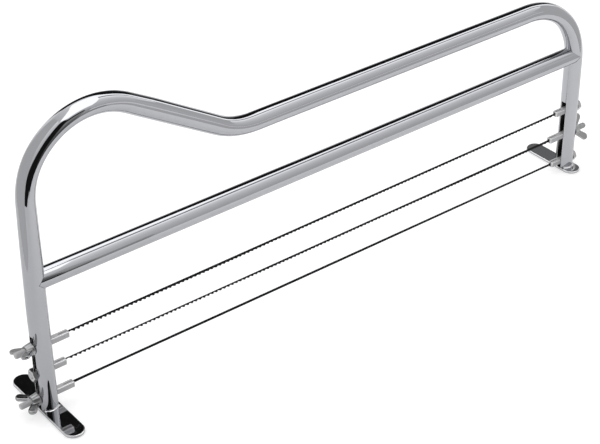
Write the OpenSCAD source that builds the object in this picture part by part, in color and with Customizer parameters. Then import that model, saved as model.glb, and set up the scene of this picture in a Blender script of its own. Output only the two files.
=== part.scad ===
// Cake layer slicer: a bent steel tube frame on two foot plates, with three blades stretched
// between its slotted legs. X runs from leg to leg, Y from front to back, Z up from the table.

/* [Frame] */
// Distance between the axes of the two legs
leg_span = 420; // [360:1:480]
// Outside diameter of the frame tube and the crossbar
tube_d = 12; // [11:0.1:14]
// Wall thickness of the tubes
tube_wall = 1.2; // [0.8:0.1:2]
// Height of the straight handle's centre line
handle_z = 133.5; // [125:0.5:140]
// Height of the hump's highest centre line point
hump_z = 182.2; // [175:0.1:190]
// Centre line radius of the big bow above the left leg
bow_r = 45; // [38:0.5:50]
// Slope of the run from the hump down to the handle, in degrees
slope_angle = 31.3; // [27:0.1:36]
// Centre line radius of the dip between slope and handle
dip_r = 55; // [30:1:80]
// Centre line radius of the corner above the right leg
corner_r = 49.5; // [30:0.5:60]
// Height of the crossbar's centre line
crossbar_z = 88.4; // [75:0.1:100]

/* [Feet] */
// Width of the foot plates
foot_w = 12.8; // [12:0.1:18]
// Thickness of the foot plates
foot_t = 1.8; // [1.2:0.1:2]
// Reach of the long foot ends from the leg's axis
foot_reach = 34; // [25:0.5:45]
// Reach of the right foot's short front end from the leg's axis
foot_short_reach = 13; // [10:0.5:20]
// Width and height of the weld fillet around the foot of each leg
weld_size = 1.1; // [0.6:0.1:1.3]

/* [Blades] */
// Height of the top blade's middle at the left leg
top_left_z = 45.8; // [44:0.1:46.4]
// Height of the top blade's middle at the right leg
top_right_z = 46.4; // [44:0.1:46.6]
// Height of the middle blade's middle at the left leg
middle_left_z = 27.9; // [26:0.1:29]
// Height of the middle blade's middle at the right leg
middle_right_z = 26.8; // [25:0.1:29]
// Height of the bottom blade's middle at the left leg
bottom_left_z = 9.9; // [9.8:0.1:11]
// Height of the bottom blade's middle at the right leg
bottom_right_z = 6.2; // [6.2:0.1:10]
// Thickness of the blades
blade_t = 0.6; // [0.4:0.1:0.9]
// Height of a toothed blade, from back to tooth tips
blade_h = 2; // [1.6:0.1:2.4]
// Depth of the teeth
tooth_depth = 0.9; // [0.4:0.1:1.2]
// Distance from tooth to tooth
tooth_pitch = 3; // [2:0.1:5]
// Height of the plain blade
plain_blade_h = 1.5; // [1:0.1:2.2]

/* [Holders] */
// Side of the square holder bars
bar_w = 3.8; // [3.6:0.1:4.4]
// Diameter of the threaded studs
stud_d = 3.9; // [3:0.1:4]
// Reach of a holder's inner end from the leg's axis, on the wing nut side
wing_bar_reach = 17.5; // [15:0.5:25]
// Reach of a holder's inner end from the leg's axis, on the hex nut side
hex_bar_reach = 14; // [13:0.5:20]
// Reach of the top wing nut's stud from the leg's axis
top_stud_reach = 16.8; // [16:0.1:22]
// Reach of the middle wing nut's stud from the leg's axis
middle_stud_reach = 17.3; // [16:0.1:22]
// Reach of the bottom wing nut's stud from the leg's axis
bottom_stud_reach = 17.6; // [16:0.1:22]
// Depth of the sawn slit that holds the blade's end
slit_depth = 6.5; // [5.5:0.5:7]
// Height of a blade's middle above its left holder's axis
left_rise = 1; // [0:0.1:1.2]
// Height of a blade's middle above its right holder's axis
right_rise = 0; // [0:0.1:0.5]
// Diameter of the cross pins
pin_d = 1.2; // [0.8:0.1:1.4]
// Height of the top end of the slots in the legs
slot_top_z = 53; // [51:0.5:60]

/* [Nuts] */
// Width of the hex nuts across their flats
hex_af = 7; // [6:0.1:7]
// Height of the hex nuts
hex_h = 2.8; // [2.2:0.1:4.5]
// Tip to tip span of the wing nuts
wing_span = 19.6; // [14:0.2:21]
// Height of the wing nuts
wing_h = 10.5; // [9:0.1:11]
// Diameter of a wing nut's hub at the leg
hub_d = 8; // [7:0.1:8.4]
// Diameter of a wing nut's hub at its outer end
hub_top_d = 6.6; // [5.5:0.1:7]
// Height of a wing nut's hub
hub_h = 4.6; // [3.5:0.1:6]
// Thickness of the wings
wing_t = 2; // [1.4:0.1:2.6]
// Angle of the top wing nut's wings above the horizontal, in degrees
top_wing_turn = -19; // [-90:1:90]
// Angle of the middle wing nut's wings above the horizontal, in degrees
middle_wing_turn = 56; // [-90:1:90]
// Angle of the bottom wing nut's wings above the horizontal, in degrees
bottom_wing_turn = 1; // [-90:1:90]

/* [Hidden] */
$fn = 64;
// Facets of the rounded wing outlines
wing_fn = 32;
// Running clearance on the radius of threads and pins
fit_gap = 0.05;
// Gap at the welds of the feet, and of the crossbar's ends
seat_gap = 0.05;
weld_gap = 0.25;
// Gap between a nut and the edges of its slot
nut_gap = 0.15;
// Side clearance of a holder in its slot, and of a blade in its slit
slide_gap = 0.2;
slit_gap = 0.06;
// Overrun of cutting shapes
cut = 1;
// Loss of a tube's radius at its bends, and overlap of bends and straights in degrees
bend_draw = 0.02;
over_turn = 0.5;
// Radii of a wing's rounded tip and of its root
tip_r = 2.4;
root_r = 1.5;
// Room between the weld fillets and the parts in the slot
weld_room = 1;
// Distance from a holder's inner end to its pin
pin_inset = 3.4;
// Room between the blade's end and the bottom of its slit
tab_room = 0.4;
// Height of the blade's end tab
tab_h = 2.8;
// Step from the tube's outside back to the end of a holder's square part
bar_setback = 1;

tube_r = tube_d / 2;
leg_x = leg_span / 2;
bow_x = -leg_x + bow_r;
bow_z = hump_z - bow_r;
slope_x = bow_x + bow_r * sin(slope_angle);
slope_z = bow_z + bow_r * cos(slope_angle);
dip_x = slope_x + (slope_z - handle_z) / tan(slope_angle);
dip_tangent = dip_r * tan(slope_angle / 2);
slope_length = (slope_z - handle_z) / sin(slope_angle) - dip_tangent;
handle_length = leg_x - corner_r - dip_x - dip_tangent;
slot_w = bar_w + 2 * slide_gap;
slot_edge = sqrt(tube_r * tube_r - slot_w * slot_w / 4);
nut_seat = slot_edge + nut_gap;
bar_end = tube_r - bar_setback;
LEFT = -1;
RIGHT = 1;

// Each level's blade middle at the left and at the right leg
TOP = [top_left_z, top_right_z];
MIDDLE = [middle_left_z, middle_right_z];
BOTTOM = [bottom_left_z, bottom_right_z];

function blade_z(level, x) = level[0] + (level[1] - level[0]) * (x + leg_x) / leg_span;
function holder_z(level, side) = side == LEFT ? level[0] - left_rise : level[1] - right_rise;
function wing_side(level) = level == MIDDLE ? RIGHT : LEFT;
function bar_reach(level, side) = side == wing_side(level) ? wing_bar_reach : hex_bar_reach;
function bar_inner_x(level, side) = side * (leg_x - bar_reach(level, side));
function wing_stud_reach(level) =
    level == TOP ? top_stud_reach : level == MIDDLE ? middle_stud_reach : bottom_stud_reach;

// Straight stretch of round bar along its own +Z, with what follows at its end
module straight(length, r) {
    cylinder(r = r, h = length);
    translate([0, 0, length])
        children();
}

// Bend towards +X when way is 1 and away from it when way is -1, drawn a little thinner than
// the straights and run a little way into them, with what follows at its end
module bend(way, bend_r, sweep, r) {
    translate([way * bend_r, 0, 0]) {
        rotate([90, 0, way > 0 ? 180 : 0])
            rotate([0, 0, -over_turn])
                rotate_extrude(angle = sweep + 2 * over_turn)
                    translate([bend_r, 0])
                        circle(r = r - bend_draw);
        rotate([0, way * sweep, 0])
            translate([-way * bend_r, 0, 0])
                children();
    }
}

// The whole bent run of the frame at a given radius, its legs reaching down to low_z
module frame_run(r, low_z) {
    translate([-leg_x, 0, low_z])
        straight(bow_z - low_z, r)
            bend(1, bow_r, 90 + slope_angle, r)
                straight(slope_length, r)
                    bend(-1, dip_r, slope_angle, r)
                        straight(handle_length, r)
                            bend(1, corner_r, 90, r)
                                straight(handle_z - corner_r - low_z, r);
}

module frame_tube() {
    color("gainsboro")
        difference() {
            frame_run(tube_r, foot_t);
            frame_run(tube_r - tube_wall, foot_t - cut);
            for (side = [LEFT, RIGHT])
                translate([side * leg_x - tube_r - cut, -slot_w / 2, foot_t - cut])
                    cube([tube_d + 2 * cut, slot_w, slot_top_z - foot_t + cut]);
        }
}

// Round bar from leg axis to leg axis at the crossbar's height
module level_bar(r) {
    translate([-leg_x, 0, crossbar_z])
        rotate([0, 90, 0])
            cylinder(r = r, h = leg_span);
}

module crossbar() {
    color("gainsboro")
        difference() {
            level_bar(tube_r);
            level_bar(tube_r - tube_wall);
            for (side = [LEFT, RIGHT])
                translate([side * leg_x, 0, crossbar_z - tube_d])
                    cylinder(r = tube_r + weld_gap, h = 2 * tube_d);
        }
}

// Foot plate with round ends, and the weld fillet in front of and behind the leg
module foot(side, front, back) {
    end_r = foot_w / 2;
    weld_r = tube_r + seat_gap;
    translate([side * leg_x, 0, 0]) {
        translate([-end_r, -front + end_r, 0])
            cube([foot_w, front + back - foot_w, foot_t]);
        for (y = [-front + end_r, back - end_r])
            translate([0, y, 0])
                cylinder(r = end_r, h = foot_t);
        difference() {
            rotate_extrude()
                translate([weld_r, foot_t])
                    polygon([
                        [0, -foot_t / 2], [weld_size, -foot_t / 2],
                        [weld_size, 0], [0, weld_size]
                    ]);
            translate([-weld_r - weld_size - cut, -slot_w / 2 - weld_room, 0])
                cube([2 * (weld_r + weld_size + cut), slot_w + 2 * weld_room, foot_t + weld_size + cut]);
        }
    }
}

module left_foot() {
    color("silver")
        foot(LEFT, foot_reach, foot_reach);
}

module right_foot() {
    color("silver")
        foot(RIGHT, foot_short_reach, foot_reach);
}

// End tab of a blade inside its holder's slit, with the pin's hole
module blade_tab(level, side) {
    from = leg_x - bar_reach(level, side);
    x = side * (from + (slit_depth - tab_room) / 2);
    translate([x, 0, holder_z(level, side)])
        cube([slit_depth - tab_room, blade_t, tab_h], center = true);
}

module blade_pin_hole(level, side) {
    translate([bar_inner_x(level, side) + side * pin_inset, 0, holder_z(level, side)])
        rotate([90, 0, 0])
            cylinder(d = pin_d + 2 * fit_gap, h = blade_t + 2 * cut, center = true);
}

// Blade between its holders: back edge on top, teeth or a plain edge below
module blade(level, height, depth) {
    x0 = bar_inner_x(level, LEFT);
    x1 = bar_inner_x(level, RIGHT);
    teeth = depth > 0 ? floor((x1 - x0) / tooth_pitch) - 1 : 0;
    first = (x0 + x1 - teeth * tooth_pitch) / 2;
    root = height / 2 - depth;
    back_edge = [for (x = [x1 + slit_depth / 2, x0 - slit_depth / 2]) [x, blade_z(level, x) + height / 2]];
    low_edge = [
        [x0 - slit_depth / 2, blade_z(level, x0 - slit_depth / 2) - root],
        for (i = [0:1:teeth - 1]) each [
            [first + i * tooth_pitch, blade_z(level, first + i * tooth_pitch) - root],
            [
                first + (i + 1 / 2) * tooth_pitch,
                blade_z(level, first + (i + 1 / 2) * tooth_pitch) - height / 2
            ]
        ],
        if (teeth > 0)
            [first + teeth * tooth_pitch, blade_z(level, first + teeth * tooth_pitch) - root],
        [x1 + slit_depth / 2, blade_z(level, x1 + slit_depth / 2) - root]
    ];
    color("dimgray")
        difference() {
            union() {
                rotate([90, 0, 0])
                    linear_extrude(height = blade_t, center = true)
                        polygon(concat(back_edge, low_edge));
                for (side = [LEFT, RIGHT])
                    blade_tab(level, side);
            }
            for (side = [LEFT, RIGHT])
                blade_pin_hole(level, side);
        }
}

// Square bar with a slit for the blade at its inner end and a threaded stud at its outer end
module holder(level, side) {
    reach = bar_reach(level, side);
    stud_reach = side == wing_side(level) ? wing_stud_reach(level) : nut_seat + hex_h;
    slit_w = blade_t + 2 * slit_gap;
    color("lightgray")
        translate([side * leg_x, 0, holder_z(level, side)])
            mirror([side == LEFT ? 1 : 0, 0, 0])
                difference() {
                    union() {
                        translate([-reach, -bar_w / 2, -bar_w / 2])
                            cube([reach + bar_end, bar_w, bar_w]);
                        rotate([0, 90, 0])
                            cylinder(d = stud_d, h = stud_reach);
                    }
                    translate([-reach - cut, -slit_w / 2, -bar_w / 2 - cut])
                        cube([slit_depth + cut, slit_w, bar_w + 2 * cut]);
                    translate([-reach + pin_inset, 0, 0])
                        rotate([90, 0, 0])
                            cylinder(d = pin_d + 2 * fit_gap, h = bar_w + 2 * cut, center = true);
                }
}

// Cross pin, flush with the sides of its holder
module pin(level, side) {
    color("darkgray")
        translate([bar_inner_x(level, side) + side * pin_inset, 0, holder_z(level, side)])
            rotate([90, 0, 0])
                cylinder(d = pin_d, h = bar_w, center = true);
}

// Wing nut on the outside of its leg, wings leaning outwards
module wing_nut(level, turn) {
    side = wing_side(level);
    color("lightgray")
        translate([side * (leg_x + nut_seat), 0, holder_z(level, side)])
            mirror([side == LEFT ? 1 : 0, 0, 0])
                rotate([turn, 0, 0])
                    difference() {
                        union() {
                            rotate([0, 90, 0])
                                cylinder(d1 = hub_d, d2 = hub_top_d, h = hub_h);
                            for (way = [-1, 1])
                                hull() {
                                    wing_disc(way, hub_h / 2, hub_top_d / 2 - root_r, root_r);
                                    wing_disc(way, wing_h - tip_r, wing_span / 2 - tip_r, tip_r);
                                }
                        }
                        translate([-cut, 0, 0])
                            rotate([0, 90, 0])
                                cylinder(d = stud_d + 2 * fit_gap, h = wing_h + 2 * cut);
                    }
}

module wing_disc(way, out, reach, r) {
    translate([out, way * reach, 0])
        cylinder(r = r, h = wing_t, center = true, $fn = wing_fn);
}

// Hex nut on the outside of its leg, two flats level
module hex_nut(level) {
    side = -wing_side(level);
    color("lightgray")
        translate([side * (leg_x + nut_seat), 0, holder_z(level, side)])
            rotate([0, side * 90, 0])
                difference() {
                    rotate([0, 0, 30])
                        cylinder(d = hex_af / cos(30), h = hex_h, $fn = 6);
                    translate([0, 0, -cut])
                        cylinder(d = stud_d + 2 * fit_gap, h = hex_h + 2 * cut);
                }
}

frame_tube();
crossbar();
left_foot();
right_foot();
blade(TOP, blade_h, tooth_depth);  // blade_top
blade(MIDDLE, blade_h, tooth_depth);  // blade_middle
blade(BOTTOM, plain_blade_h, 0);  // blade_bottom
holder(TOP, LEFT);  // holder_top_left
holder(TOP, RIGHT);  // holder_top_right
holder(MIDDLE, LEFT);  // holder_middle_left
holder(MIDDLE, RIGHT);  // holder_middle_right
holder(BOTTOM, LEFT);  // holder_bottom_left
holder(BOTTOM, RIGHT);  // holder_bottom_right
pin(TOP, LEFT);  // pin_top_left
pin(TOP, RIGHT);  // pin_top_right
pin(MIDDLE, LEFT);  // pin_middle_left
pin(MIDDLE, RIGHT);  // pin_middle_right
pin(BOTTOM, LEFT);  // pin_bottom_left
pin(BOTTOM, RIGHT);  // pin_bottom_right
wing_nut(TOP, top_wing_turn);  // wing_nut_top
wing_nut(MIDDLE, middle_wing_turn);  // wing_nut_middle
wing_nut(BOTTOM, bottom_wing_turn);  // wing_nut_bottom
hex_nut(TOP);  // hex_nut_top
hex_nut(MIDDLE);  // hex_nut_middle
hex_nut(BOTTOM);  // hex_nut_bottom
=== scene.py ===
import math
import bpy
import bmesh
import numpy as np
from mathutils import Matrix, Vector


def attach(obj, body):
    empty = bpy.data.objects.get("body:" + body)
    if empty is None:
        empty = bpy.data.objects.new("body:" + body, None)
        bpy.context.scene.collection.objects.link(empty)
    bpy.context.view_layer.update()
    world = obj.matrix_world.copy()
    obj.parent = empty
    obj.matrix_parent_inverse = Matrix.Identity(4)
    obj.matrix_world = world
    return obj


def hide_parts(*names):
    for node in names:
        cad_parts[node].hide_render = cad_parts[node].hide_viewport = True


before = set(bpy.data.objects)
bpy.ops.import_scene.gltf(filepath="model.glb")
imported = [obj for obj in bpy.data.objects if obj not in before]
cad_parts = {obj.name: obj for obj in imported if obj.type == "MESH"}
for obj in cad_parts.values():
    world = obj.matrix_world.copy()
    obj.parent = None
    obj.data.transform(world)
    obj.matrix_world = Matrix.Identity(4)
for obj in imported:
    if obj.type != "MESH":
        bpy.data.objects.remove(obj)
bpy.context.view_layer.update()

# Camera: a long lens from the front left, above the slicer, at the photograph's angle. Its near
# left leg stands lower in the picture than the far right one.
camera = bpy.data.objects.new("camera", bpy.data.cameras.new("camera"))
bpy.context.scene.collection.objects.link(camera)
camera.data.sensor_width = 36
camera.data.lens = 98.99
camera.data.clip_start, camera.data.clip_end = 0.05, 60
camera.location = (-0.54563, -0.66567, 0.60928)
camera.rotation_euler = [math.radians(a) for a in (56.5043, 0.4410, -38.2788)]
bpy.context.scene.camera = camera
bpy.context.scene.view_settings.view_transform = "Standard"

# Light tent: a white cloth tunnel round the slicer's long axis, a little greyer on the camera's
# side and with a thin seam between its two bright top panels.
world = bpy.data.worlds.new("light_tent")
bpy.context.scene.world = world
world.use_nodes = True
nodes, links = world.node_tree.nodes, world.node_tree.links
nodes.clear()
direction = nodes.new("ShaderNodeTexCoord")
parts = nodes.new("ShaderNodeSeparateXYZ")
links.new(direction.outputs["Generated"], parts.inputs[0])
forward = nodes.new("ShaderNodeMath")
forward.operation = "MULTIPLY"
forward.inputs[1].default_value = -1
links.new(parts.outputs["Y"], forward.inputs[0])
around = nodes.new("ShaderNodeMath")
around.operation = "ARCTAN2"
links.new(parts.outputs["Z"], around.inputs[0])
links.new(forward.outputs[0], around.inputs[1])
turn = nodes.new("ShaderNodeMapRange")
turn.inputs["From Min"].default_value = -math.pi
turn.inputs["From Max"].default_value = math.pi
links.new(around.outputs[0], turn.inputs["Value"])
cloth = nodes.new("ShaderNodeValToRGB")
cloth.color_ramp.interpolation = "LINEAR"
# The cloth's brightness by angle in degrees: 0 in front of the slicer, 90 above it, 180 behind it.
TENT = [(-180, 0.95), (-90, 0.9), (-10, 0.64), (8, 0.64), (38, 0.76), (53, 0.88), (68, 1.02),
        (76, 1.18), (81, 1.5), (87, 1.5), (91, 0.32), (98, 0.3), (104, 1.65), (124, 1.9),
        (135, 1.0), (172, 1.02), (180, 1.05)]
CLOTH_BLUE = 1.01
# A colour ramp holds no more than 1, so its values are divided by this and the strength is this.
RAMP_GAIN = 2
while len(cloth.color_ramp.elements) < len(TENT):
    cloth.color_ramp.elements.new(0.5)
for stop, (angle, value) in zip(cloth.color_ramp.elements, TENT):
    stop.position = (angle + 180) / 360
    grey = value / RAMP_GAIN
    stop.color = (grey, grey, grey * CLOTH_BLUE, 1)
links.new(turn.outputs[0], cloth.inputs[0])
rays = nodes.new("ShaderNodeLightPath")
tent_light = nodes.new("ShaderNodeBackground")
tent_light.inputs["Strength"].default_value = RAMP_GAIN
links.new(cloth.outputs[0], tent_light.inputs["Color"])
white = nodes.new("ShaderNodeBackground")
pick = nodes.new("ShaderNodeMixShader")
white.inputs["Color"].default_value = (1, 1, 1, 1)
links.new(rays.outputs["Is Camera Ray"], pick.inputs[0])
links.new(tent_light.outputs[0], pick.inputs[1])
links.new(white.outputs[0], pick.inputs[2])
out = nodes.new("ShaderNodeOutputWorld")
links.new(pick.outputs[0], out.inputs["Surface"])

# Table: one sweep of matt white board. It takes the slicer's soft shadow, and is lifted to white
# for the camera and a little in the metal, more so towards the right leg.
TABLE_HALF, BOARD_GREY = 8, 0.7
LIFT_SEEN, LIFT_MIRRORED = 0.4, 0.17
MIRROR_FROM_X, MIRROR_TO_X = -0.3, 0.0
board = bpy.data.meshes.new("table")
board.from_pydata([(-TABLE_HALF, -TABLE_HALF, 0), (TABLE_HALF, -TABLE_HALF, 0),
                   (TABLE_HALF, TABLE_HALF, 0), (-TABLE_HALF, TABLE_HALF, 0)], [], [(0, 1, 2, 3)])
table = bpy.data.objects.new("table", board)
bpy.context.scene.collection.objects.link(table)
white_board = bpy.data.materials.new("white_board")
white_board.use_nodes = True
nodes, links = white_board.node_tree.nodes, white_board.node_tree.links
paper = nodes["Principled BSDF"]
paper.inputs["Base Color"].default_value = (BOARD_GREY, BOARD_GREY, BOARD_GREY, 1)
paper.inputs["Roughness"].default_value = 1
paper.inputs["Specular IOR Level"].default_value = 0
lift = nodes.new("ShaderNodeEmission")
rays = nodes.new("ShaderNodeLightPath")
seen = nodes.new("ShaderNodeMath")
seen.operation = "ADD"
seen.use_clamp = True
links.new(rays.outputs["Is Camera Ray"], seen.inputs[0])
links.new(rays.outputs["Is Transmission Ray"], seen.inputs[1])
where = nodes.new("ShaderNodeTexCoord")
along = nodes.new("ShaderNodeSeparateXYZ")
links.new(where.outputs["Object"], along.inputs[0])
in_metal = nodes.new("ShaderNodeMapRange")
in_metal.inputs["From Min"].default_value = MIRROR_FROM_X
in_metal.inputs["From Max"].default_value = MIRROR_TO_X
in_metal.inputs["To Max"].default_value = LIFT_MIRRORED
links.new(along.outputs["X"], in_metal.inputs["Value"])
mirrored = nodes.new("ShaderNodeMath")
mirrored.operation = "MULTIPLY"
links.new(rays.outputs["Is Glossy Ray"], mirrored.inputs[0])
links.new(in_metal.outputs[0], mirrored.inputs[1])
amount = nodes.new("ShaderNodeMath")
amount.operation = "MULTIPLY_ADD"
amount.inputs[1].default_value = LIFT_SEEN
links.new(seen.outputs[0], amount.inputs[0])
links.new(mirrored.outputs[0], amount.inputs[2])
links.new(amount.outputs[0], lift.inputs["Strength"])
both = nodes.new("ShaderNodeAddShader")
links.new(paper.outputs[0], both.inputs[0])
links.new(lift.outputs[0], both.inputs[1])
links.new(both.outputs[0], nodes["Material Output"].inputs["Surface"])
table.data.materials.append(white_board)

# Cards: black, grey and white boards that a photographer stands and hangs round chrome to draw its
# dark and bright lines. They show only in the metal and take no light from the slicer.
CARD_TOP = 1.2


def graded_card(name, shades):
    """Card stock whose brightness runs with height: shades = rows of height in m and value."""
    stock = bpy.data.materials.new(name)
    stock.use_nodes = True
    nodes, links = stock.node_tree.nodes, stock.node_tree.links
    nodes.clear()
    where = nodes.new("ShaderNodeTexCoord")
    parts = nodes.new("ShaderNodeSeparateXYZ")
    links.new(where.outputs["Object"], parts.inputs[0])
    height = nodes.new("ShaderNodeMapRange")
    height.inputs["From Max"].default_value = CARD_TOP
    links.new(parts.outputs["Z"], height.inputs["Value"])
    ramp = nodes.new("ShaderNodeValToRGB")
    while len(ramp.color_ramp.elements) < len(shades):
        ramp.color_ramp.elements.new(0.5)
    while len(ramp.color_ramp.elements) > len(shades):
        ramp.color_ramp.elements.remove(ramp.color_ramp.elements[-1])
    for stop, (z, value) in zip(ramp.color_ramp.elements, shades):
        stop.position = z / CARD_TOP
        grey = value / RAMP_GAIN
        stop.color = (grey, grey, grey, 1)
    links.new(height.outputs[0], ramp.inputs[0])
    glow = nodes.new("ShaderNodeEmission")
    glow.inputs["Strength"].default_value = RAMP_GAIN
    links.new(ramp.outputs[0], glow.inputs["Color"])
    links.new(glow.outputs[0], nodes.new("ShaderNodeOutputMaterial").inputs["Surface"])
    return stock


def hang_card(name, corners, shades):
    """Flat card with these corners in metres, seen by mirroring rays only."""
    card = bpy.data.meshes.new(name)
    card.from_pydata(corners, [], [tuple(range(len(corners)))])
    card.materials.append(graded_card(name, shades))
    hung = bpy.data.objects.new(name, card)
    bpy.context.scene.collection.objects.link(hung)
    hung.visible_camera = hung.visible_diffuse = hung.visible_shadow = False
    hung.visible_transmission = hung.visible_volume_scatter = False


def stand_card(name, start, end, low, high, shades):
    """Upright card over the table from one point of the plan to another."""
    hang_card(name, [(*start, low), (*end, low), (*end, high), (*start, high)], shades)


# The back cards stand in one upright plane behind the slicer, running this way over the table.
BACK_WAY = (0.788, -0.6156)


def back_card(name, start, outline, shades):
    """Card in the back plane: outline = rows of length from start and height, in metres."""
    corners = [(start[0] + BACK_WAY[0] * a, start[1] + BACK_WAY[1] * a, z) for a, z in outline]
    hang_card(name, corners, shades)


back_card("back_card", (-0.09, 1.103),
          [(0, 0.19), (1.35, 0.19), (1.35, 0.5), (1.28, 0.76), (1.2, 0.88), (1.13, 0.96),
           (1.06, 1.03), (0.92, 1.06), (0.84, 1.05), (0.7, 0.98), (0.6, 0.93), (0.45, 0.87),
           (0, 0.86)],
          [(0.2, 0.19), (0.28, 0.15), (0.34, 0.08), (0.39, 0.03), (0.44, 0.009)])
back_card("back_left_card", (-0.093, 1.099),
          [(0.2, 0.02), (0.6, 0.02), (0.66, 0.3), (0.62, 0.5), (0.2, 0.5)],
          [(0.02, 0.6), (0.1, 0.36), (0.2, 0.12), (0.34, 0.03), (0.45, 0.005)])
back_card("back_grey_card", (-0.095, 1.095),
          [(0.96, 0.385), (1.1, 0.385), (1.1, 0.435), (0.96, 0.435)], [(0, 0.2)])

# The near black card stands in an upright plane in front: rows of x and height.
NEAR_Y, NEAR_SLOPE = -0.363, -0.622
NEAR_BLACK = [(-0.4, 0.035), (-0.29, 0.034), (-0.265, 0.046), (-0.21, 0.04), (-0.17, 0.015),
              (-0.17, 0.33), (-0.2, 0.38), (-0.225, 0.43), (-0.26, 0.43), (-0.28, 0.34),
              (-0.308, 0.25), (-0.335, 0.215), (-0.375, 0.18), (-0.4, 0.14)]
hang_card("near_black_card", [(x, NEAR_Y + NEAR_SLOPE * x, z) for x, z in NEAR_BLACK],
          [(0, 0.012)])
stand_card("near_dark_card", (-0.17, -0.2573), (-0.06, -0.3257), 0.0, 0.33,
           [(0.05, 0.012), (0.08, 0.14), (0.15, 0.14), (0.2, 0.3), (0.26, 0.3), (0.275, 0.012)])
stand_card("near_grey_card", (-0.06, -0.3257), (-0.02, -0.3506), 0.0, 0.29,
           [(0.03, 0.14), (0.06, 0.2), (0.1, 0.33), (0.14, 0.46), (0.2, 0.5)])
stand_card("front_grey_card", (-0.02, -0.3506), (0.03, -0.342), 0.0, 0.13, [(0, 0.4)])
stand_card("right_grey_card", (0.03, -0.342), (0.52, 0.001), 0.0, 0.12, [(0, 0.61)])
stand_card("left_wall", (-0.365, -0.09), (-0.365, 0.8), 0.0, 0.9, [(0, 0.62)])
stand_card("right_wall", (0.55, -0.35), (0.55, 0.05), 0.0, 0.4, [(0, 0.62)])

# Over the bow a white card lies level, and a grey one leans beside it.
TOP_WHITE_Z = 0.26
TOP_WHITE = [(-0.208, -0.046), (-0.196, -0.075), (-0.18, -0.1), (-0.116, -0.1), (-0.116, 0.02),
             (-0.13, 0.045), (-0.15, 0.064), (-0.163, 0.062), (-0.173, 0.04), (-0.182, 0.01),
             (-0.192, -0.015)]
hang_card("top_white_card", [(x, y, TOP_WHITE_Z) for x, y in TOP_WHITE], [(0, 1.9)])
TOP_GREY = [(-0.212, -0.05, 0.262), (-0.16, -0.05, 0.285), (-0.16, 0.12, 0.285),
            (-0.212, 0.12, 0.262)]
hang_card("top_grey_card", TOP_GREY, [(0.262, 0.72), (0.285, 1.05)])

# Frame tube: 12 mm polished stainless tube, bent cold on a mandrel into two legs, a hump, a dip
# and a handle. Each leg is slotted from side to side, and the bends come out a little flattened.
MM = 0.001
LEG_X, TUBE_R, WALL = 210, 6.0, 1.2
LEG_FOOT_Z, SLOT_TOP_Z, SLOT_W = 1.8, 53, 4.2
HUMP_Z, HANDLE_Z, CROSSBAR_Z = 182.2, 133.5, 88.4
BOW_R, DIP_R, CORNER_R, SLOPE = 45, 55, 49.5, math.radians(31.3)
# Cold bending pulls the tube thin outside a bend: rows of length along it, outer half and inner.
DRAWN = [(0, 6.0, 6.0), (51, 6.03, 6.05), (60, 6.2, 6.1), (75, 6.0, 5.98), (90, 5.65, 6.2),
         (105, 5.4, 6.35), (120, 5.0, 6.25), (136, 4.4, 6.25), (145, 4.35, 6.0),
         (155, 4.95, 5.55), (167, 5.4, 5.55), (190, 5.45, 5.55), (205, 5.4, 5.8),
         (218, 5.4, 6.1), (230, 5.6, 6.35), (245, 6.0, 6.35), (270, 5.87, 6.3), (296, 5.8, 6.2),
         (310, 5.5, 6.08), (322, 6.0, 5.55), (340, 6.05, 5.5), (375, 6.0, 5.75),
         (420, 5.92, 6.0), (450, 5.85, 6.15), (490, 5.68, 6.4), (540, 5.42, 6.6),
         (556, 5.6, 6.25), (568, 5.88, 6.0), (578, 5.62, 5.55), (592, 6.05, 5.85),
         (604, 6.0, 6.3), (622, 5.8, 6.3), (642, 6.0, 6.3), (652, 6.05, 6.1), (656, 6.0, 6.0),
         (710, 6.0, 6.0)]
# Its halves are averaged this far each way along the tube, a bend has a ring this often, and the
# slotted part of a leg has rings at these parts of its height.
EASE_LENGTH, BEND_STEP_DEG, SLOT_RINGS = 6, 2.5, (0, 0.35, 0.7, 1)


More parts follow.
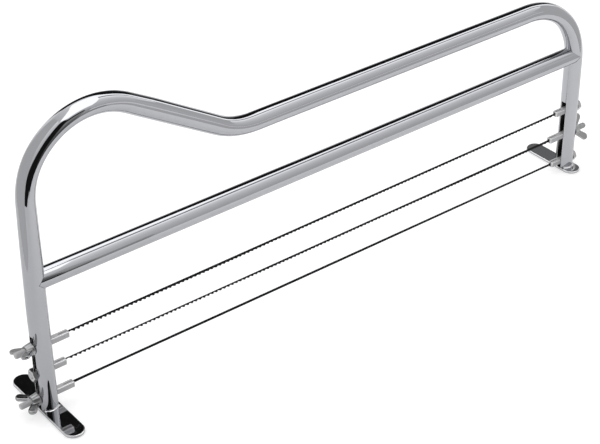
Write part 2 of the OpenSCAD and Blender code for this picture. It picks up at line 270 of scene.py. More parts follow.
def bent_line():
    """The tube's centre line: rows of x, z, heading (from +Z towards +X), outer and inner half."""
    slope_x = -LEG_X + BOW_R + BOW_R * math.sin(SLOPE)
    slope_z = HUMP_Z - BOW_R + BOW_R * math.cos(SLOPE)
    tangent = DIP_R * math.tan(SLOPE / 2)
    slope_run = (slope_z - HANDLE_Z) / math.sin(SLOPE) - tangent
    handle_run = LEG_X - CORNER_R - slope_x - (slope_z - HANDLE_Z) / math.tan(SLOPE) - tangent
    x, z, heading, gone, rows = -LEG_X, LEG_FOOT_Z, 0.0, 0.0, []
    lengths, outer, inner = np.array(DRAWN).T

    def row(px, pz, a, far):
        """Adds one ring's place, with the tube's halves there."""
        eased = far + np.linspace(-EASE_LENGTH, EASE_LENGTH, 7)
        rows.append((px, pz, a, float(np.interp(eased, lengths, outer).mean()),
                     float(np.interp(eased, lengths, inner).mean())))

    def straight(length, cuts):
        """A straight run with rings at these places along it."""
        nonlocal x, z, gone
        for c in cuts:
            row(x + c * math.sin(heading), z + c * math.cos(heading), heading, gone + c)
        x, z, gone = x + length * math.sin(heading), z + length * math.cos(heading), gone + length

    def bend(way, radius, sweep):
        """A bend of this sweep in radians, towards the right where way is 1."""
        nonlocal x, z, heading, gone
        cx, cz = x + way * radius * math.cos(heading), z - way * radius * math.sin(heading)
        steps = round(math.degrees(sweep) / BEND_STEP_DEG)
        for i in range(steps + 1):
            a = heading + way * sweep * i / steps
            row(cx - way * radius * math.cos(a), cz + way * radius * math.sin(a), a,
                gone + radius * sweep * i / steps)
        heading += way * sweep
        x, z = cx - way * radius * math.cos(heading), cz + way * radius * math.sin(heading)
        gone += radius * sweep

    leg = HUMP_Z - BOW_R - LEG_FOOT_Z
    slot = SLOT_TOP_Z - LEG_FOOT_Z
    straight(leg, [slot * f for f in SLOT_RINGS] + list(np.linspace(slot + 5, leg - 5, 14)))
    bend(1, BOW_R, math.pi / 2 + SLOPE)
    straight(slope_run, [slope_run * f for f in np.linspace(0.08, 0.92, 10)])
    bend(-1, DIP_R, SLOPE)
    straight(handle_run, [handle_run * f for f in np.linspace(0.025, 0.975, 28)])
    bend(1, CORNER_R, math.pi / 2)
    leg = HANDLE_Z - CORNER_R - LEG_FOOT_Z
    straight(leg, [5, 11, 17, 23] + [leg - slot * f for f in reversed(SLOT_RINGS)])
    return rows


def metal_mesh(name, points, faces, sharp=38):
    """A piece's mesh from points in mm, shaded smooth but for edges sharper than that angle."""
    mesh = bpy.data.meshes.new(name)
    mesh.from_pydata([Vector(p) * MM for p in points], [], faces)
    tidy = bmesh.new()
    tidy.from_mesh(mesh)
    bmesh.ops.remove_doubles(tidy, verts=tidy.verts, dist=1e-7)
    bmesh.ops.recalc_face_normals(tidy, faces=tidy.faces)
    tidy.to_mesh(mesh)
    tidy.free()
    mesh.shade_smooth()
    mesh.set_sharp_from_angle(angle=math.radians(sharp))
    made = bpy.data.objects.new(name, mesh)
    bpy.context.scene.collection.objects.link(made)
    return made


def ease_edges(made, width, segments=2, angle=40, highlight_slot=-1):
    """Breaks sharp edges as deburring does; the bevel faces take the painted highlight in the last
    argument's slot.
    """
    ease = made.modifiers.new("eased_edges", "BEVEL")
    ease.width, ease.segments, ease.material = width * MM, segments, highlight_slot
    ease.limit_method, ease.angle_limit = "ANGLE", math.radians(angle)
    ease.harden_normals = True
    return made


def slotted_tube(rows):
    """Tube wall along the rows: its points, two rings to a row, and faces, open at the slots."""
    edge = [math.asin(SLOT_W / 2 / r) for r in (TUBE_R, TUBE_R - WALL)]
    side_steps, slot_steps = 22, 4
    columns = []
    for a in edge:
        c = [-a + 2 * a * i / slot_steps for i in range(slot_steps)]
        c += [a + (math.pi - 2 * a) * i / side_steps for i in range(side_steps)]
        columns.append(c + [v + math.pi for v in c])
    n = len(columns[0])
    half = slot_steps + side_steps
    in_slot = [j % half < slot_steps for j in range(n)]
    points, faces = [], []
    for x, z, heading, outer_half, inner_half in rows:
        for k, r in enumerate((TUBE_R, TUBE_R - WALL)):
            for a in columns[k]:
                half_width = inner_half if math.cos(a) > 0 else outer_half
                side = (half_width - TUBE_R + r) * math.cos(a)
                points.append((x + side * math.cos(heading), r * math.sin(a),
                               z - side * math.sin(heading)))

    def at(row, wall, column):
        """Number of a point, where wall is 0 outside and 1 inside."""
        return (row * 2 + wall) * n + column % n

    last = len(rows) - 1
    cut = [r[1] < SLOT_TOP_Z - 0.01 for r in rows]
    for i in range(last):
        slotted = cut[i] or cut[i + 1]
        for j in range(n):
            if slotted and in_slot[j]:
                continue
            faces.append((at(i, 0, j), at(i, 0, j + 1), at(i + 1, 0, j + 1), at(i + 1, 0, j)))
            faces.append((at(i, 1, j), at(i + 1, 1, j), at(i + 1, 1, j + 1), at(i, 1, j + 1)))
            if slotted and in_slot[(j - 1) % n]:
                faces.append((at(i, 0, j), at(i + 1, 0, j), at(i + 1, 1, j), at(i, 1, j)))
            if slotted and in_slot[(j + 1) % n]:
                faces.append((at(i, 0, j + 1), at(i, 1, j + 1),
                              at(i + 1, 1, j + 1), at(i + 1, 0, j + 1)))
    tops = [i for i in range(1, last) if not cut[i] and (cut[i - 1] or cut[i + 1])]
    for i, wanted in [(0, False), (last, False)] + [(t, True) for t in tops]:
        for j in range(n):
            if in_slot[j] == wanted:
                faces.append((at(i, 0, j), at(i, 0, j + 1), at(i, 1, j + 1), at(i, 1, j)))
    return points, faces


def worked_steel(name, colour, rough, rough_spread, grain_size, grain_depth, grain=(1, 1, 1),
                 blotch=30):
    """Stainless steel: brightness and roughness drift in patches, and a fine grain lies on top.

    The grain's size is in mm and its depth in metres; grain stretches it along an axis."""
    drift = 0.05
    steel = bpy.data.materials.new(name)
    steel.use_nodes = True
    nodes, links = steel.node_tree.nodes, steel.node_tree.links
    surface = nodes["Principled BSDF"]
    surface.inputs["Metallic"].default_value = 1
    place = nodes.new("ShaderNodeTexCoord")
    patches = nodes.new("ShaderNodeTexNoise")
    patches.inputs["Scale"].default_value = blotch
    patches.inputs["Detail"].default_value = 4
    links.new(place.outputs["Object"], patches.inputs["Vector"])
    shade = nodes.new("ShaderNodeMix")
    shade.data_type = "RGBA"
    shade.inputs["A"].default_value = (*[c * (1 - drift) for c in colour], 1)
    shade.inputs["B"].default_value = (*[min(1, c * (1 + drift)) for c in colour], 1)
    links.new(patches.outputs["Fac"], shade.inputs["Factor"])
    links.new(shade.outputs["Result"], surface.inputs["Base Color"])
    stretch = nodes.new("ShaderNodeMapping")
    stretch.inputs["Scale"].default_value = grain
    links.new(place.outputs["Object"], stretch.inputs["Vector"])
    lines = nodes.new("ShaderNodeTexNoise")
    lines.inputs["Scale"].default_value = 1 / (grain_size * MM)
    lines.inputs["Detail"].default_value = 3
    links.new(stretch.outputs[0], lines.inputs["Vector"])
    mixed = nodes.new("ShaderNodeMath")
    mixed.operation = "MULTIPLY"
    links.new(patches.outputs["Fac"], mixed.inputs[0])
    links.new(lines.outputs["Fac"], mixed.inputs[1])
    gloss = nodes.new("ShaderNodeMapRange")
    gloss.inputs["From Min"].default_value = 0.1
    gloss.inputs["From Max"].default_value = 0.45
    gloss.inputs["To Min"].default_value = rough
    gloss.inputs["To Max"].default_value = rough + rough_spread
    links.new(mixed.outputs[0], gloss.inputs["Value"])
    links.new(gloss.outputs[0], surface.inputs["Roughness"])
    relief = nodes.new("ShaderNodeBump")
    relief.inputs["Strength"].default_value = 1
    relief.inputs["Distance"].default_value = grain_depth
    links.new(lines.outputs["Fac"], relief.inputs["Height"])
    links.new(relief.outputs[0], surface.inputs["Normal"])
    return steel


mirror_polish = worked_steel("mirror_polished_tube", (0.522, 0.528, 0.549), rough=0.03,
                             rough_spread=0.05, grain_size=6, grain_depth=1e-7)
tube_line = bent_line()
tube_points, tube_faces = slotted_tube(tube_line)
# The tube's eased edges at the slots and ends take a painted highlight in the third slot: a steel
# far lighter than polished steel can be, for bright edge lines.
tube = ease_edges(metal_mesh("bent_tube", tube_points, tube_faces), width=0.25, highlight_slot=2)
painted_highlight_edge = worked_steel("painted_highlight_edge", (0.86, 0.86, 0.865), rough=0.12, rough_spread=0.15,
                           grain_size=0.8, grain_depth=1e-6)
tube.data.materials.append(mirror_polish)
# Painted shade: the tube's inside wall is near black, standing in for the shade deep in the tube
# where the slots show it.
painted_shade_bore = worked_steel("bore_painted_dark", (0.035, 0.034, 0.033), rough=0.45, rough_spread=0.25,
                          grain_size=1.5, grain_depth=1e-5)
tube.data.materials.append(painted_shade_bore)
tube.data.materials.append(painted_highlight_edge)
ring = len(tube_points) // (2 * len(tube_line))
for face in tube.data.polygons:
    face.material_index = int(all(v // ring % 2 for v in face.vertices))
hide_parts("frame_tube")
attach(tube, "frame")

# Crossbar: the same tube, cut to length, its ends coped to the legs, brazed and polished flush so
# that no bead shows, only a hairline where it meets them.
BAR_COLUMNS, COPE_GAP = 72, 0.04
bar_points, bar_faces = [], []
bar_stations = [-1, -0.96, -0.5, 0, 0.5, 0.96, 1]
for f in bar_stations:
    for r in (TUBE_R, TUBE_R - WALL):
        for j in range(BAR_COLUMNS):
            a = 2 * math.pi * j / BAR_COLUMNS
            y, z = r * math.cos(a), r * math.sin(a)
            saddle = math.sqrt(max(0, TUBE_R ** 2 - y * y)) - COPE_GAP
            bar_points.append((f * (LEG_X - max(0, saddle)), y, CROSSBAR_Z + z))


def bar_at(station, wall, column):
    """Number of a point of the crossbar, where wall is 0 outside and 1 inside."""
    return (station * 2 + wall) * BAR_COLUMNS + column % BAR_COLUMNS


for i in range(len(bar_stations) - 1):
    for j in range(BAR_COLUMNS):
        for wall in (0, 1):
            bar_faces.append((bar_at(i, wall, j), bar_at(i, wall, j + 1),
                              bar_at(i + 1, wall, j + 1), bar_at(i + 1, wall, j)))
for i in (0, len(bar_stations) - 1):
    for j in range(BAR_COLUMNS):
        bar_faces.append((bar_at(i, 0, j), bar_at(i, 0, j + 1),
                          bar_at(i, 1, j + 1), bar_at(i, 1, j)))
rail = metal_mesh("crossbar_rail", bar_points, bar_faces)
rail.data.materials.append(mirror_polish)
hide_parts("crossbar")
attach(rail, "frame")


def braze_line(side):
    """Thin thread of braze metal round a coped end, where the two tubes meet, coloured near black
    as painted shade of the hairline there.
    """
    thick, columns, turns, proud = 0.13, 6, 96, 0.02
    points, faces = [], []
    for i in range(turns):
        a = 2 * math.pi * i / turns
        y, z = TUBE_R * math.cos(a), TUBE_R * math.sin(a)
        reach = math.sqrt(max(0, TUBE_R ** 2 - y * y)) + proud
        for k in range(columns):
            t = 2 * math.pi * k / columns
            grow = 1 + thick * math.cos(t) / TUBE_R
            points.append((side * (LEG_X - reach - thick * math.sin(t)), y * grow,
                           CROSSBAR_Z + z * grow))
    for i in range(turns):
        here, there = i * columns, (i + 1) % turns * columns
        for k in range(columns):
            after = (k + 1) % columns
            faces.append((here + k, here + after, there + after, there + k))
    return points, faces


# Painted shade: the braze thread is near black, standing in for the shade in the hairline gap at
# each joint.
braze_painted_shade = worked_steel("braze_painted_shade", (0.1, 0.095, 0.09), rough=0.3, rough_spread=0.25,
                          grain_size=1, grain_depth=1e-5)
for side, hand in ((-1, "left"), (1, "right")):
    seam = metal_mesh(hand + "_braze_line", *braze_line(side))
    seam.data.materials.append(braze_painted_shade)
    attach(seam, "frame")

# Feet: strips of 1.8 mm polished stainless plate with round ends and broken edges. Each is
# welded to the leg that stands on it by one arc in front and one behind.
FOOT_W, FOOT_T, FOOT_REACH, SHORT_REACH = 12.8, 1.8, 34, 13


def round_ended_plate(side, front, back):
    """Foot plate that reaches this far before and behind its leg."""
    r, steps = FOOT_W / 2, 24
    outline = [(r * math.cos(a), back - r + r * math.sin(a))
               for a in (math.pi * i / steps for i in range(steps + 1))]
    outline += [(-r * math.cos(a), -front + r - r * math.sin(a))
                for a in (math.pi * i / steps for i in range(steps + 1))]
    n = len(outline)
    points = [(side * LEG_X + x, y, z) for z in (0, FOOT_T) for x, y in outline]
    faces = [tuple(range(n - 1, -1, -1)), tuple(range(n, 2 * n))]
    faces += [(j, (j + 1) % n, n + (j + 1) % n, n + j) for j in range(n)]
    return points, faces


def closed_form(rings, columns):
    """Faces that join rows of points, each row a ring, and close the first and last one."""
    faces = []
    for i in range(rings - 1):
        here, there = i * columns, (i + 1) * columns
        for j in range(columns):
            after = (j + 1) % columns
            faces.append((here + j, here + after, there + after, there + j))
    return faces + [tuple(range(columns)), tuple(range((rings - 1) * columns, rings * columns))]


def weld_fillet(side, way):
    """Arc of weld metal at the foot of a leg, a little thicker where the torch began and left."""
    first = math.radians(40)
    across, along = 7, 60
    bead, ripple, fine_ripple, hollow, sunk = 0.85, 0.05, 0.03, 0.94, 0.25
    crater, rise, lump, lump_at, lump_width = 0.35, 18, 0.45, 0.05, 0.035
    points = []
    for i in range(along + 1):
        a = first + (math.pi - 2 * first) * i / along
        size = bead + ripple * math.sin(a * 17) + fine_ripple * math.sin(a * 41 + 1)
        end = min(i, along - i) / along
        swell = 1 + lump * math.exp(-((end - lump_at) / lump_width) ** 2)
        size *= min(1, crater + rise * end) * swell
        ring = [(TUBE_R - sunk, -0.3)]
        ring += [(TUBE_R + size * (1 - math.sin(t) * hollow), size * (1 - math.cos(t) * hollow))
                 for t in (math.pi / 2 * k / (across - 1) for k in range(across))]
        ring[1], ring[-1] = (TUBE_R + size, -0.02), (TUBE_R - 0.03, size)
        ring.append((TUBE_R - sunk, size * 0.8))
        for r, z in ring:
            points.append((side * LEG_X + r * math.cos(a), way * r * math.sin(a), FOOT_T + z))
    return points, closed_form(along + 1, across + 2)


plate_polish = worked_steel("polished_plate", (0.52, 0.526, 0.545), rough=0.02, rough_spread=0.05,
                            grain_size=0.5, grain_depth=2e-7, grain=(1, 0.08, 1))
weld_finish = worked_steel("buffed_weld", (0.66, 0.66, 0.67), rough=0.06, rough_spread=0.14,
                           grain_size=0.9, grain_depth=1.2e-5)
for name, side, front in (("left_foot", -1, FOOT_REACH), ("right_foot", 1, SHORT_REACH)):
    plate = metal_mesh(name + "_plate", *round_ended_plate(side, front, FOOT_REACH))
    # The plates' eased edges take a painted highlight: a steel far lighter than the plate, for
    # bright rims.
    ease_edges(plate, width=0.6, segments=4, highlight_slot=1)
    plate.data.materials.append(plate_polish)
    plate.data.materials.append(painted_highlight_edge)
    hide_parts(name)
    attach(plate, "frame")
    for end, way in (("front", -1), ("back", 1)):
        weld = metal_mesh(name + "_weld_" + end, *weld_fillet(side, way))
        weld.data.materials.append(weld_finish)
        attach(weld, "frame")

# Blades: three thin strips of blued spring steel, the upper two with filed teeth that are bright
# at their points, the lower one plain. Each ends in a tab that is pinned in its holder's slit.
# Each blade's height at the left and at the right leg, and how much lower the left holders sit.
LEVELS = {"top": (45.8, 46.4), "middle": (27.9, 26.8), "bottom": (9.9, 6.2)}
LEFT_DROP = 1
WING_SIDE = {"top": -1, "middle": 1, "bottom": -1}
WING_BAR, HEX_BAR, SLIT, PIN_INSET = 17.5, 14, 6.5, 3.4
BLADE_T, PITCH = 0.6, 3
# Each strip is filed by hand and a little uneven: rows of place along it, and of its back, tooth
# roots and tooth points there, above or below its line.
EDGES = {"top": [(-180, 0.62, -0.4, -1.6), (-110, 0.63, -0.85, -1.6), (-75, 0.64, -0.85, -1.6),
                 (-45, 0.67, -0.6, -1.3), (40, 0.68, -0.6, -1.2)],
         "middle": [(-180, 0.42, -0.2, -1.35), (-80, 0.5, -0.3, -1.25), (-45, 0.58, -0.6, -1.35),
                    (45, 0.65, -0.5, -1.2), (120, 0.61, -0.95, -1.5)],
         "bottom": [(-180, 0.75, -0.92, -0.92), (40, 0.77, -0.97, -0.97),
                    (140, 0.67, -0.85, -0.85)]}
# A strip's back is eased, to this part of its thickness, and it is ground thin towards its lower
# edge: half thicknesses there.
BACK_EASE, BACK_PART, GRIND_H, POINT_HALF, ROOT_HALF = 0.08, 0.85, 0.25, 0.07, 0.18
# One raked tooth: the places of its corners as parts of the pitch.
TOOTH = ((0.06, "root"), (0.62, "tip"), (0.78, "tip"), (0.9, "root"))


def blade_z(level, x):
    """Height of a blade's line at this place along it."""
    left, right = LEVELS[level]
    return left + (right - left) * (x + LEG_X) / (2 * LEG_X)


def bar_inner_x(level, side):
    """Place of a holder's inner end; the wing nuts' holders are longer than the hex nuts'."""
    return side * (LEG_X - (WING_BAR if side == WING_SIDE[level] else HEX_BAR))


def holder_z(level, side):
    """Height of a holder, and of the nut on it."""
    return LEVELS[level][0] - LEFT_DROP if side < 0 else LEVELS[level][1]


def blade_strip(level):
    """One blade from tab to tab, its lower edge marked as bare metal."""
    toothed = level != "bottom"
    places, backs, roots, tips = np.array(EDGES[level]).T
    tab, tab_h, tab_end, neck, neck_part = SLIT - 0.4, 2.8, 0.3, 0.8, 0.8
    tip_mark, root_mark = 1.0, 0.35
    x0, x1 = bar_inner_x(level, -1), bar_inner_x(level, 1)
    stations = [(x0 - tab, "tab"), (x0 - tab_end, "tab"), (x0 + neck, "neck")]
    if toothed:
        count = int((x1 - x0) / PITCH) - 1
        first = (x0 + x1 - count * PITCH) / 2
        for i in range(count):
            stations += [(first + (i + f) * PITCH, kind) for f, kind in TOOTH]
        stations.append((first + count * PITCH, "root"))
    else:
        stations += [(x0 + (x1 - x0) * f, "root") for f in (0.02, 0.25, 0.5, 0.75, 0.98)]
    stations += [(x1 - neck, "neck"), (x1 + tab_end, "tab"), (x1 + tab, "tab")]
    points, bare = [], []
    for x, kind in stations:
        z = blade_z(level, x)
        side = -1 if x < 0 else 1
        t = BLADE_T / 2
        if kind == "tab":
            z = holder_z(level, side)
            top, ground, low, edge = z + tab_h / 2, z - tab_h / 2 + 0.3, z - tab_h / 2, t
        else:
            back, root, point = (float(np.interp(x, places, v)) for v in (backs, roots, tips))
            top, low = z + back, z + (point if kind == "tip" else root)
            ground = z + root + GRIND_H
            edge = POINT_HALF if kind == "tip" or not toothed else ROOT_HALF
            if kind == "neck":
                edge = t * neck_part
        section = ((-t * BACK_PART, top), (t * BACK_PART, top), (t, top - BACK_EASE), (t, ground),
                   (edge, low), (-edge, low), (-t, ground), (-t, top - BACK_EASE))
        for y, h in section:
            points.append((x, y, h))
            bare.append(0.0 if h != low else tip_mark if kind == "tip" else root_mark)
    strip = bpy.data.meshes.new(level + "_blade")
    strip.from_pydata([Vector(p) * MM for p in points], [],
                      closed_form(len(stations), len(section)))
    mark = strip.attributes.new("bare_edge", "FLOAT", "POINT")
    mark.data.foreach_set("value", bare)
    facing = bmesh.new()
    facing.from_mesh(strip)
    bmesh.ops.recalc_face_normals(facing, faces=facing.faces)
    facing.to_mesh(strip)
    facing.free()
    made = bpy.data.objects.new(level + "_blade", strip)
    bpy.context.scene.collection.objects.link(made)
    return made


blued_steel = worked_steel("blued_spring_steel", (0.006, 0.006, 0.007), rough=0.36,
                           rough_spread=0.14, grain_size=0.25, grain_depth=4e-6,
                           grain=(0.02, 1, 1))
nodes, links = blued_steel.node_tree.nodes, blued_steel.node_tree.links
nodes["Principled BSDF"].inputs["Metallic"].default_value = 0.25
nodes["Principled BSDF"].inputs["Specular IOR Level"].default_value = 0.12
edge_mark = nodes.new("ShaderNodeAttribute")
edge_mark.attribute_name = "bare_edge"
filed = nodes.new("ShaderNodeMix")
filed.data_type = "RGBA"
filed.inputs["B"].default_value = (0.06, 0.06, 0.06, 1)
old = nodes["Principled BSDF"].inputs["Base Color"].links[0].from_socket
links.new(old, filed.inputs["A"])
links.new(edge_mark.outputs["Fac"], filed.inputs["Factor"])
links.new(filed.outputs["Result"], nodes["Principled BSDF"].inputs["Base Color"])
for level in LEVELS:
    strip = blade_strip(level)
    strip.data.materials.append(blued_steel)
    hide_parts("blade_" + level)
    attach(strip, level + "_blade_set")

# Holders: square satin steel bars, sawn with a slit at the inner end for the blade, and turned
# down outside the leg to an M4 thread. A cross pin through slit and blade carries the pull.
BAR_W, STUD_D, THREAD_PITCH, BAR_END = 3.8, 3.9, 0.7, 5
PIN_R, PIN_PROUD, PIN_DOME = 0.6, 0.04, 0.12
# Play of a blade in its slit, how far the saw runs past the bar, and the stud's root in the bar.
SLIT_PLAY, SAW_OVER, SAW_HALF, STUD_ROOT = 0.06, 1, 3, 0.4
STUD_REACH = {"top": 16.8, "middle": 17.3, "bottom": 17.6}
SEAT_LIFT = 0.15
NUT_SEAT = math.sqrt(TUBE_R ** 2 - SLOT_W ** 2 / 4) + SEAT_LIFT
HEX_H = 2.8


def cut_away(made, cutter, how="DIFFERENCE"):
    """Boolean of two pieces, applied; the second one is used up."""
    saw = made.modifiers.new("saw", "BOOLEAN")
    saw.operation, saw.solver, saw.object = how, "EXACT", cutter
    cut = made.evaluated_get(bpy.context.evaluated_depsgraph_get())
    done = bpy.data.meshes.new_from_object(cut)
    made.modifiers.clear()
    made.data = done
    bpy.data.objects.remove(cutter)
    return made


def block(name, low, high):
    """Square-sided bar or saw cut between two corners in mm."""
    points = [(x, y, z) for x in (low[0], high[0]) for y in (low[1], high[1])
              for z in (low[2], high[2])]
    faces = [(0, 1, 3, 2), (4, 6, 7, 5), (0, 4, 5, 1), (2, 3, 7, 6), (0, 2, 6, 4), (1, 5, 7, 3)]
    return metal_mesh(name, points, faces)


def thread(name, start, length, crest):
    """Rolled thread along +X: a round core whose radius follows the helix, its tip chamfered."""
    turns_step, columns = 12, 28
    root_depth, crest_flat, flank_run, chamfer = 0.36, 0.12, 0.76, 0.7
    tip_drop = root_depth * 1.1
    rings = max(2, round(length / THREAD_PITCH * turns_step))
    points = []
    for i in range(rings + 1):
        x = length * i / rings
        fade = min(1, (length - x) / chamfer)
        for j in range(columns):
            phase = (x / THREAD_PITCH - j / columns) % 1
            flank = min(1, max(0, (abs(phase - 0.5) * 2 - crest_flat) / flank_run))
            r = crest - root_depth * (1 - flank) if i else crest - root_depth
            r = min(r, crest - tip_drop + tip_drop * fade)
            a = 2 * math.pi * j / columns
            points.append((start + x, r * math.cos(a), r * math.sin(a)))
    return metal_mesh(name, points, closed_form(rings + 1, columns), sharp=60)


def turned(rings, columns):
    """Points and faces of a closed round form along X, from rows of place and radius in mm."""
    points = []
    for x, r in rings:
        for j in range(columns):
            a = 2 * math.pi * j / columns
            points.append((x, r * math.cos(a), r * math.sin(a)))
    return points, closed_form(len(rings), columns)


def round_bar(name, axis, centre, r, half, columns=32, dome=0.0):
    """Short round piece along X or Y with a slightly domed or chamfered end, centre in mm."""
    rings = [(-half, r - dome * 1.4), (-half + dome, r), (half - dome, r), (half, r - dome * 1.4)]
    points, faces = turned(rings, columns)
    if axis == "Y":
        points = [(p, u, q) for u, p, q in points]
    placed = [(centre[0] + u, centre[1] + p, centre[2] + q) for u, p, q in points]
    return metal_mesh(name, placed, faces)


satin_bar = worked_steel("satin_bar", (0.46, 0.46, 0.465), rough=0.45, rough_spread=0.12,
                         grain_size=0.12, grain_depth=4e-6, grain=(0.06, 1, 1))
satin_bar.node_tree.nodes["Principled BSDF"].inputs["Metallic"].default_value = 0.1
bright_pin = worked_steel("turned_pin", (0.5, 0.5, 0.5), rough=0.2, rough_spread=0.15,
                          grain_size=0.2, grain_depth=2e-6)
for level in LEVELS:
    for side, hand in ((-1, "left"), (1, "right")):
        winged = side == WING_SIDE[level]
        inner = LEG_X - (WING_BAR if winged else HEX_BAR)
        reach = STUD_REACH[level] if winged else NUT_SEAT + HEX_H
        z = holder_z(level, side)
        bar = block(f"{level}_{hand}_holder", (inner, -BAR_W / 2, -BAR_W / 2),
                    (LEG_X + BAR_END, BAR_W / 2, BAR_W / 2))
        # The bars' eased edges take a painted highlight: a steel far lighter than the bar, for
        # bright edge lines.
        ease_edges(bar, width=0.4, segments=4, highlight_slot=1)
        bar.modifiers["eased_edges"].harden_normals = False
        bar.data.materials.append(satin_bar)
        bar.data.materials.append(painted_highlight_edge)
        slit_w = BLADE_T / 2 + SLIT_PLAY
        cut_away(bar, block("slit", (inner - SAW_OVER, -slit_w, -SAW_HALF),
                            (inner + SLIT, slit_w, SAW_HALF)))
        stud = thread("stud", LEG_X + BAR_END - STUD_ROOT, reach - BAR_END + STUD_ROOT, STUD_D / 2)
        cut_away(bar, stud, "UNION")
        bar.data.transform(Matrix.Translation((0, 0, z * MM)) @ Matrix.Diagonal((side, 1, 1, 1)))
        if side < 0:
            bar.data.flip_normals()
        bar.data.shade_smooth()
        bar.data.set_sharp_from_angle(angle=math.radians(35))
        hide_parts(f"holder_{level}_{hand}")
        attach(bar, level + "_blade_set")
        pin = round_bar(f"{level}_{hand}_pin", "Y", (side * (inner + PIN_INSET), 0, z), PIN_R,
                        BAR_W / 2 + PIN_PROUD, columns=24, dome=PIN_DOME)
        pin.data.materials.append(bright_pin)
        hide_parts(f"pin_{level}_{hand}")
        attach(pin, level + "_blade_set")

# Wing nuts: hot forged steel, nickel plated and tumbled, a tapered hub with two coplanar ears
# that lean outwards, tapped M4. The top and bottom ones sit left, the middle one right.
WING_SPAN, WING_H, WING_T = 19.6, 10.5, 2.0
HUB_D, HUB_TOP_D, HUB_H = 8, 6.6, 4.6
# Play of the tapped bore, how far the tumbled skin reaches past the hub, and the fusing voxels.
TAP_PLAY, TUMBLED_OVER, FUSE_SIZE = 0.06, 0.05, 0.16
WING_TURN = {"top": -19, "middle": 56, "bottom": 1}


def seated_nut(pattern, name, level, side, turn=0):
    """Copy of a nut's pattern on its stud, turned by this many degrees, against the leg."""
    nut = bpy.data.objects.new(name, pattern.data.copy())
    bpy.context.scene.collection.objects.link(nut)
    seat = Matrix.Translation((side * (LEG_X + NUT_SEAT) * MM, 0, holder_z(level, side) * MM))
    turned_by = Matrix.Rotation(math.radians(turn), 4, "X")
    nut.data.transform(seat @ Matrix.Diagonal((side, 1, 1, 1)) @ turned_by)
    if side < 0:
        nut.data.flip_normals()
    return nut


def forged_wings():
    """Hub and ears as closed forms in mm along +X, fused by a fine remesh and smoothed."""
    forge = bmesh.new()
    hub = bmesh.ops.create_cone(forge, cap_ends=True, segments=64, radius1=HUB_D / 2,
                                radius2=HUB_TOP_D / 2, depth=HUB_H)
    bmesh.ops.rotate(forge, verts=hub["verts"], matrix=Matrix.Rotation(math.pi / 2, 3, "Y"))
    bmesh.ops.translate(forge, verts=hub["verts"], vec=(HUB_H / 2, 0, 0))
    tip_r, root_r, root_inset, steps = 2.55, 2.0, 1.5, 40
    ear_section = ((-0.5, 0.35), (-0.3, 0.0), (0.3, 0.0), (0.5, 0.35))
    for way in (-1, 1):
        centre = [(HUB_H / 2, way * (HUB_TOP_D / 2 - root_inset), root_r),
                  (WING_H - tip_r, way * (WING_SPAN / 2 - tip_r), tip_r)]
        ear = bmesh.new()
        for x, y, r in centre:
            for i in range(steps):
                a = 2 * math.pi * i / steps
                for t, inset in ear_section:
                    ear.verts.new((x + (r - inset) * math.cos(a), y + (r - inset) * math.sin(a),
                                   t * WING_T))
        bmesh.ops.convex_hull(ear, input=ear.verts)
        loose = [v for v in ear.verts if not v.link_faces]
        bmesh.ops.delete(ear, geom=loose, context="VERTS")
        shape = bpy.data.meshes.new("ear")
        ear.to_mesh(shape)
        ear.free()
        forge.from_mesh(shape)
        bpy.data.meshes.remove(shape)
    mesh = bpy.data.meshes.new("forging")
    forge.to_mesh(mesh)
    forge.free()
    forging = bpy.data.objects.new("forging", mesh)
    bpy.context.scene.collection.objects.link(forging)
    fuse = forging.modifiers.new("fuse", "REMESH")
    fuse.mode, fuse.voxel_size = "VOXEL", FUSE_SIZE
    soften = forging.modifiers.new("soften", "SMOOTH")
    soften.factor, soften.iterations = 0.5, 8
    smooth = forging.evaluated_get(bpy.context.evaluated_depsgraph_get())
    done = bpy.data.meshes.new_from_object(smooth)
    bpy.data.objects.remove(forging)
    points = np.zeros(len(done.vertices) * 3)
    done.vertices.foreach_get("co", points)
    points = points.reshape(-1, 3)
    points[:, 0] = np.clip(points[:, 0], 0.0, WING_H)
    made = bpy.data.objects.new("wing_nut", bpy.data.meshes.new("wing_nut"))
    made.data.from_pydata((points * MM).tolist(), [], [tuple(p.vertices) for p in done.polygons])
    bpy.context.scene.collection.objects.link(made)
    bore = round_bar("bore", "X", (HUB_H / 2, 0, 0), STUD_D / 2 + TAP_PLAY, half=8, columns=40)
    cut_away(made, bore)
    made.data.shade_smooth()
    made.data.set_sharp_from_angle(angle=math.radians(50))
    return made


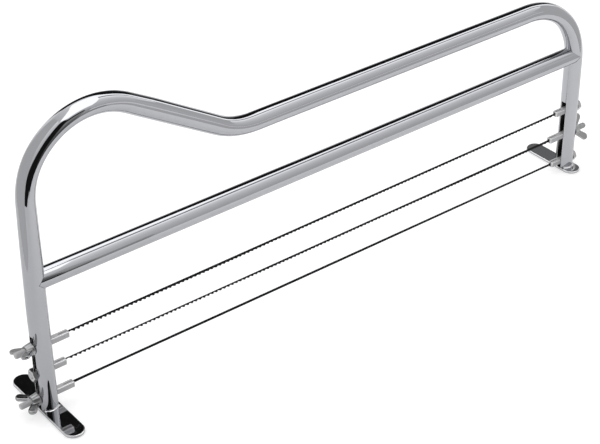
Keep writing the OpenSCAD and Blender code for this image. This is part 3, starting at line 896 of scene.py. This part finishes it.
nickel_forging = worked_steel("nickel_plated_forging", (0.437, 0.438, 0.443), rough=0.03,
                              rough_spread=0.08, grain_size=0.9, grain_depth=6e-6, blotch=250)
tumbled_hub = worked_steel("tumbled_hub", (0.457, 0.458, 0.463), rough=0.26,
                           rough_spread=0.14, grain_size=0.7, grain_depth=2e-5, blotch=250)
pattern = forged_wings()
pattern.data.materials.clear()
pattern.data.materials.append(nickel_forging)
pattern.data.materials.append(tumbled_hub)
for face in pattern.data.polygons:
    x, y, z = face.center / MM
    on_hub = x < HUB_H + 2 * TUMBLED_OVER and math.hypot(y, z) < HUB_D / 2 + TUMBLED_OVER
    is_end = abs(face.normal.x) >= 0.9
    face.material_index = int(on_hub and not is_end)
for level, turn in WING_TURN.items():
    nut = seated_nut(pattern, level + "_wing_nut_forging", level, WING_SIDE[level], turn)
    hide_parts("wing_nut_" + level)
    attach(nut, level + "_wing_nut")
bpy.data.objects.remove(pattern)

# Hex nuts: bright cold-formed steel M4 nuts, 7 mm across the flats and chamfered on both faces.
# Each is screwed on its stud against the leg opposite the wing nut.
HEX_AF, CORNER_CUT = 7, 0.15
TAP_R, COUNTERSINK_R, COUNTERSINK_H = 2.0, 2.3, 0.3


def chamfered_hex():
    """Hex prism in mm along +X, chamfered by a round form and tapped with a countersink."""
    r = HEX_AF / 2 / math.cos(math.pi / 6)
    corners = [math.pi / 3 * i for i in range(6)]
    prism = [(x, r * math.cos(a), r * math.sin(a)) for x in (0, HEX_H) for a in corners]
    sides = [(j, (j + 1) % 6, 6 + (j + 1) % 6, 6 + j) for j in range(6)]
    made = metal_mesh("hex_nut", prism, [(5, 4, 3, 2, 1, 0), (6, 7, 8, 9, 10, 11)] + sides)
    flat = HEX_AF / 2 - CORNER_CUT
    rise = (r - HEX_AF / 2 + CORNER_CUT) * math.tan(math.radians(30))
    round_form = turned([(0, flat), (rise, r), (HEX_H - rise, r), (HEX_H, flat)], columns=72)
    cut_away(made, metal_mesh("chamfer", *round_form), "INTERSECT")
    hole = turned([(-1, COUNTERSINK_R + 1), (COUNTERSINK_H, TAP_R),
                   (HEX_H - COUNTERSINK_H, TAP_R), (HEX_H + 1, COUNTERSINK_R + 1)], columns=48)
    cut_away(made, metal_mesh("hole", *hole))
    made.data.shade_smooth()
    made.data.set_sharp_from_angle(angle=math.radians(20))
    return made


bright_nut = worked_steel("bright_hex_nut", (0.6, 0.6, 0.6), rough=0.06, rough_spread=0.1,
                          grain_size=0.5, grain_depth=6e-6, blotch=300)
pattern = chamfered_hex()
pattern.data.materials.clear()
pattern.data.materials.append(bright_nut)
for level in LEVELS:
    nut = seated_nut(pattern, level + "_hex_nut", level, -WING_SIDE[level])
    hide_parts("hex_nut_" + level)
    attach(nut, level + "_blade_set")
bpy.data.objects.remove(pattern)
